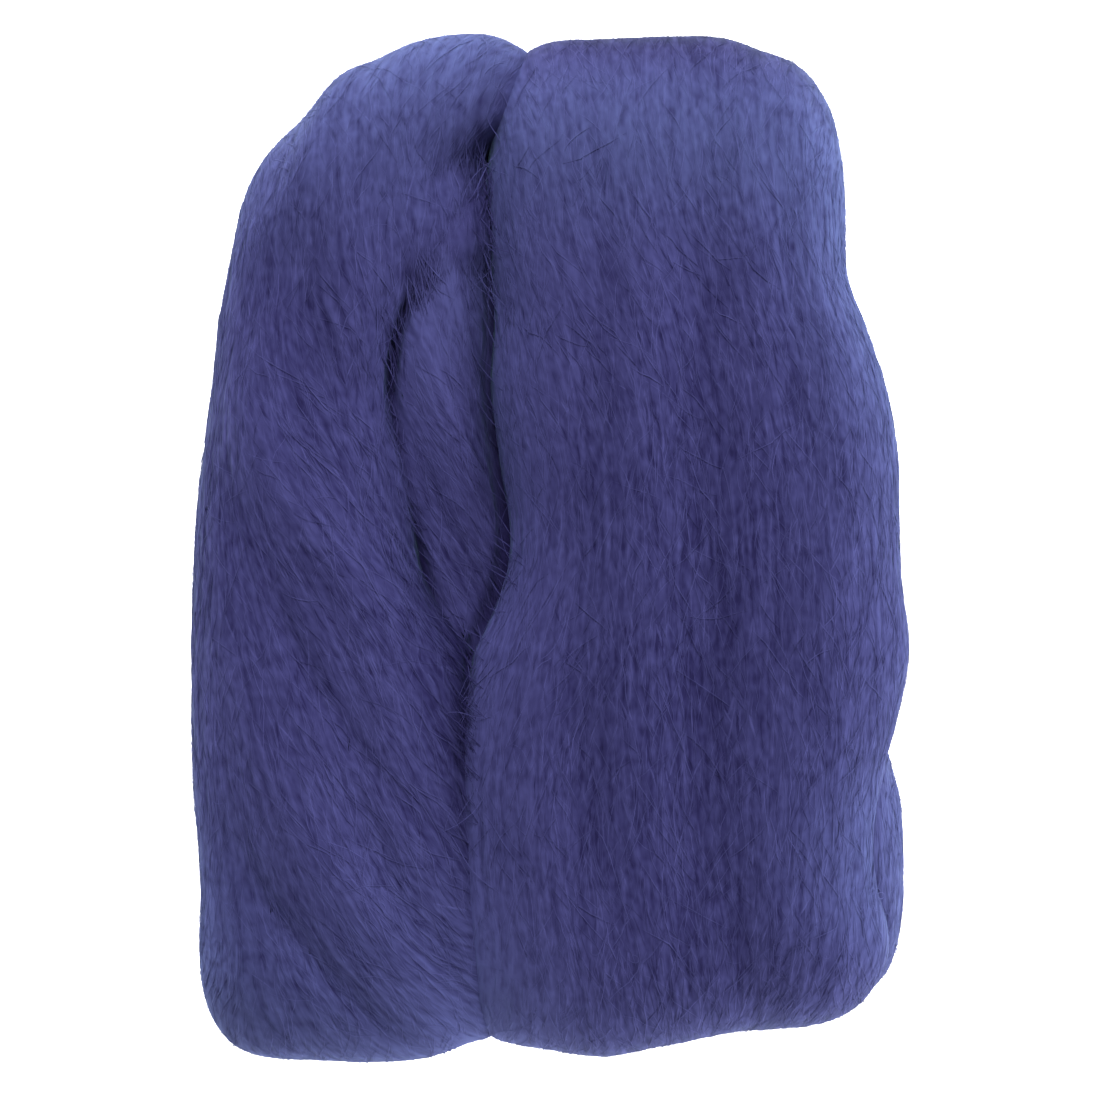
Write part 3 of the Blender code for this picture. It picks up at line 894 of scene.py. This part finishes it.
SPANS = Cross(8, 4, 11, 0.1, 0.18, 0.08, 0.28, 0.35, 0.08, 0.3)
SEAM_SPANS = Cross(8, 5, 13, 0.12, 0.2, 0.06, 0.22, 0.3, 0.05, 0.0)
WANDERERS = Cross(14, 8, 20, 0.09, 0.14, 0.04, 0.6, 0.8, 0.35, 0.0)
CURLS = Cross(18, 4, 8, 0.09, 0.13, 0.04, 2, 4, 0.35, 0.0)
fibres += [
    lay_crossing("left_spans", left, 110, SPANS, 0.2, -85, 66),
    lay_crossing("middle_spans", middle, 130, SPANS, 0.2, -20, 66),
    lay_crossing("right_spans", right, 30, SPANS, 0.15, -30, 56),
    lay_crossing("strand_spans", middle, 170, SEAM_SPANS, 0.02, 40, 62),
    lay_crossing("seam_spans", left, 200, SEAM_SPANS, 0.02, 42, 62),
    lay_crossing("right_wanderers", right, 80, WANDERERS),
    lay_crossing("left_wanderers", left, 60, WANDERERS),
    lay_crossing("right_curls", right, 30, CURLS, 0, -84, -55),
    lay_crossing("left_curls", left, 20, CURLS, 0, -84, 20),
]

# %% [markdown]
# Dyed wool is matt, with a slight sheen where it is seen at a low angle, because countless fibre ends
# stand out of it. The dye is a deep violet blue. A paler, bluer painted highlight is mixed in where
# light falls on the folds and the rims, and painted shade darkens the grooves. A picture of wool would
# not bend with the fibres. So one node group mixes the colour from the values kept on the points, from
# fine noise along the combed lines and from slow patches.


# %% Mix the dye
SHORT_STREAK = (1.12, 2.4, 1.0)  # millimetres across and along the combed lines
LONG_STREAK = (1.12, 18.0, 1.0)
PATCH = (0.02, 0.02, 0.02)  # metres
HIGHLIGHT_STREAKS = 1.8  # how much more painted highlight high streaks get, and low ones less


def linear(red, green, blue):
    """A colour as a shader takes it, from the 0 to 255 values that a screen shows."""
    shares = [value / 255 for value in (red, green, blue)]
    return tuple([s / 12.92 if s <= 0.04045 else ((s + 0.055) / 1.055) ** 2.4 for s in shares] + [1.0])


def set_inputs(node, values):
    """Sets these inputs of a node."""
    for name, value in values.items():
        node.inputs[name].default_value = value


def calculate(group, operation, *terms):
    """A math node on these sockets or numbers."""
    node = group.nodes.new("ShaderNodeMath")
    node.operation = operation
    for term, socket in zip(terms, node.inputs):
        if isinstance(term, float):
            socket.default_value = term
        else:
            group.links.new(term, socket)
    return node.outputs[0]


def blend(group, factor, first, second):
    """A mix of two colours."""
    node = group.nodes.new("ShaderNodeMix")
    node.data_type = "RGBA"
    for term, name in ((factor, "Factor"), (first, "A"), (second, "B")):
        group.links.new(term, node.inputs[name])
    return node.outputs["Result"]


def noise(group, vector, steps, detail):
    """Noise that is stretched to these steps along each axis, from about -0.5 to 0.5."""
    stretched = group.nodes.new("ShaderNodeVectorMath")
    stretched.operation = "DIVIDE"
    stretched.inputs[1].default_value = steps
    texture = group.nodes.new("ShaderNodeTexNoise")
    set_inputs(texture, {"Scale": 1.0, "Detail": detail})
    group.links.new(vector, stretched.inputs[0])
    group.links.new(stretched.outputs[0], texture.inputs["Vector"])
    return calculate(group, "SUBTRACT", texture.outputs["Fac"], 0.5)


# the highlight inputs mix in a paler, bluer painted highlight, and the shade inputs mix in painted
# shade
DYE_INPUTS = (
    ("Lines A", "Vector", (0.0, 0.0, 0.0)), ("Lines B", "Vector", (0.0, 0.0, 0.0)),
    ("Share", "Float", 0.5), ("Tone", "Float", 0.5), ("Bloom", "Float", 0.0), ("Shade", "Float", 0.0),
    ("Streaks", "Float", 1.0), ("Patches", "Float", 0.1), ("Shadow", "Color", linear(30, 25, 68)),
    ("Outermost", "Color", linear(97, 110, 166)), ("Deep", "Color", linear(42, 38, 86)),
    ("Pale", "Color", linear(84, 83, 144)),
)


def make_dye_and_painted_light_group():
    """Colour and height from the combed lines, with slow patches of more or less dye, a painted
    highlight and painted shade.
    """
    group = bpy.data.node_groups.new("wool_dye", "ShaderNodeTree")
    for name, kind, default in DYE_INPUTS:
        socket = group.interface.new_socket(name, in_out="INPUT", socket_type="NodeSocket" + kind)
        socket.default_value = default
    for name, kind in (("Color", "Color"), ("Height", "Float")):
        group.interface.new_socket(name, in_out="OUTPUT", socket_type="NodeSocket" + kind)
    give = group.nodes.new("NodeGroupInput").outputs
    out = group.nodes.new("NodeGroupOutput")
    place_in = group.nodes.new("ShaderNodeTexCoord")
    combed = []
    for lines in (give["Lines A"], give["Lines B"]):
        short = noise(group, lines, SHORT_STREAK, 1.0)
        combed.append(calculate(group, "ADD", short, noise(group, lines, LONG_STREAK, 1.0)))
    apart = calculate(group, "SUBTRACT", *combed)
    height = calculate(group, "MULTIPLY_ADD", apart, give["Share"], combed[1])
    patch = noise(group, place_in.outputs["Object"], PATCH, 2.0)
    # the kept tone holds random tone and painted light and shade
    tone = calculate(group, "MULTIPLY_ADD", height, give["Streaks"], give["Tone"])
    tone = calculate(group, "MULTIPLY_ADD", patch, give["Patches"], tone)
    mixed_colour = blend(group, tone, give["Deep"], give["Pale"])
    # painted highlight: the kept amount mixes in a paler, bluer colour, more on high streaks
    highlight_on_streaks = calculate(group, "MULTIPLY_ADD", height, HIGHLIGHT_STREAKS, 1.0)
    mixed_colour = blend(group, calculate(group, "MULTIPLY", give["Bloom"], highlight_on_streaks), mixed_colour, give["Outermost"])
    # painted shade: the kept shade mixes the colour towards a dark shadow colour
    group.links.new(blend(group, give["Shade"], mixed_colour, give["Shadow"]), out.inputs["Color"])
    group.links.new(height, out.inputs["Height"])
    return group


# the group mixes the dye with the painted highlight and the painted shade
dye = make_dye_and_painted_light_group()
print("dye group:", [socket.name for socket in dye.interface.items_tree])

# %% [markdown]
# The passes and the fibres get the same dye, painted highlight and painted shade. The fibres are a
# little smoother and less streaky, because each has a tone of its own already. A faint sheen shows at
# low angles, and the height of the streaks gives a fine relief, which is too fine to be modelled.


# %% Make the two finishes
# the kept values carry random tone with painted light and shade, a painted highlight and painted shade
KEPT = (
    ("lines_a", "Vector", "Lines A"), ("lines_b", "Vector", "Lines B"), ("lines_share", "Fac", "Share"),
    ("tone", "Fac", "Tone"), ("bloom", "Fac", "Bloom"), ("shade", "Fac", "Shade"),
)


def wool_material(name, streaks, roughness):
    """Dyed wool with painted highlight and shade, whose colour and fine relief follow the values kept
    on the piece.
    """
    material = bpy.data.materials.new(name)
    material.use_nodes = True
    nodes, link = material.node_tree.nodes, material.node_tree.links.new
    shader = nodes["Principled BSDF"]
    set_inputs(shader, {"Roughness": roughness, "Specular IOR Level": 0.12, "Sheen Weight": 0.07})
    set_inputs(shader, {"Sheen Roughness": 0.45, "Sheen Tint": (0.42, 0.90, 0.95, 1.0)})
    colour = nodes.new("ShaderNodeGroup")
    colour.node_tree = dye
    set_inputs(colour, {"Streaks": streaks})
    for kept, output, socket in KEPT:
        reader = nodes.new("ShaderNodeAttribute")
        reader.attribute_name = kept
        link(reader.outputs[output], colour.inputs[socket])
    link(colour.outputs["Color"], shader.inputs["Base Color"])
    relief = nodes.new("ShaderNodeBump")
    set_inputs(relief, {"Strength": 0.5, "Distance": 0.4 * MM})
    link(colour.outputs["Height"], relief.inputs["Height"])
    link(relief.outputs["Normal"], shader.inputs["Normal"])
    return material


body_wool = wool_material("body_wool", 1.2, 0.92)
fibre_wool = wool_material("fibre_wool", 1.1, 0.85)

# %% [markdown]
# Every piece rides on the hank's one body and stands for its solid, which is hidden. The passes are
# soft and springy, and roving is airy and gives under a finger.

# %% Join the pieces to the frame
for made in passes:
    made.piece.data.materials.append(body_wool)
for piece in fibres:
    piece.data.materials.append(fibre_wool)
for piece in [made.piece for made in passes] + fibres:
    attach(piece, "root")
    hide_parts(NODE)
print(len(passes) + len(fibres), "pieces ride on the hank")

# %% [markdown]
# The hank lies on a plain white table. It gives off light of its own, like a studio table lit from
# below, so it shows pure white and no shadow.


# %% The table
WHITE = (1.0, 1.0, 1.0, 1.0)
HALF_TABLE = 2.5  # metres
TABLE_GAP = 0.2 * MM  # under the hank, so that the two faces do not meet


def make_floor():
    """A wide, plain, pale surface just under the hank."""
    plane = bmesh.new()
    bmesh.ops.create_grid(plane, x_segments=1, y_segments=1, size=HALF_TABLE)
    bmesh.ops.translate(plane, verts=plane.verts, vec=(0, 0, -TABLE_GAP))
    mesh = bpy.data.meshes.new("floor")
    plane.to_mesh(mesh)
    plane.free()
    floor = add_object("floor", mesh)
    material = bpy.data.materials.new("white_table")
    material.use_nodes = True
    shader = material.node_tree.nodes["Principled BSDF"]
    set_inputs(shader, {"Base Color": (0.86, 0.86, 0.87, 1.0), "Roughness": 0.8})
    set_inputs(shader, {"Specular IOR Level": 0.2, "Emission Color": WHITE, "Emission Strength": 2.2})
    mesh.materials.append(material)
    return floor


make_floor()

# %% [markdown]
# The camera looks straight down from far away, through a long lens, so the sides hardly show. The key
# light stands beyond the upper folds, half way up, so it brightens them and leaves the middle darker. A
# low light from the right rakes over the fibres, weaker ones fill the lower end and the upper left, and
# a faint, even light from all round keeps the grooves from going black.

# %% The camera and the lights
FRAME_WIDTH = 182.3 * MM  # what the picture is wide, at the height of the hank's widest line
LENS, SENSOR = 135.0, 36.0
WIDEST_LINE = 19.0 * MM
AIM = (0.08 * MM, -0.25 * MM)  # the place in the middle of the picture

camera_data = bpy.data.cameras.new("camera")
camera_data.lens, camera_data.sensor_width = LENS, SENSOR
camera = add_object("camera", camera_data)
camera.location = (*AIM, WIDEST_LINE + FRAME_WIDTH * LENS / SENSOR)
bpy.context.scene.camera = camera

LIGHT_DISTANCE, LIGHT_SIZE = 1.2, 0.6  # metres


def area_light(name, azimuth, elevation, watts, colour):
    """A soft square light that points at the hank. Azimuth 90 is beyond its upper end."""
    data = bpy.data.lights.new(name, "AREA")
    data.size, data.energy, data.color = LIGHT_SIZE, watts, colour
    light = add_object(name, data)
    turn, rise = math.radians(azimuth), math.radians(elevation)
    flat = LIGHT_DISTANCE * math.cos(rise)
    light.location = (flat * math.cos(turn), flat * math.sin(turn), LIGHT_DISTANCE * math.sin(rise))
    light.rotation_euler = (math.pi / 2 - rise, 0, turn + math.pi / 2)


area_light("key_light", 90, 50, 13.0, (1.0, 1.0, 1.0))
area_light("side_light", -22, 12, 13.0, (0.95, 1.0, 1.0))
area_light("low_light", -95, 12, 3.0, (1.0, 1.0, 1.0))
area_light("back_light", 128, 20, 3.0, (0.9, 1.0, 1.0))

world = bpy.data.worlds.new("studio")
world.use_nodes = True
set_inputs(world.node_tree.nodes["Background"], {"Color": WHITE, "Strength": 0.03})
bpy.context.scene.world = world
bpy.context.scene.view_settings.view_transform = "Standard"
print("camera height:", round(camera.location.z, 4), "m")

# %% [markdown]
# Last, the scene is brought up to date.

# %% Finish
bpy.context.view_layer.update()
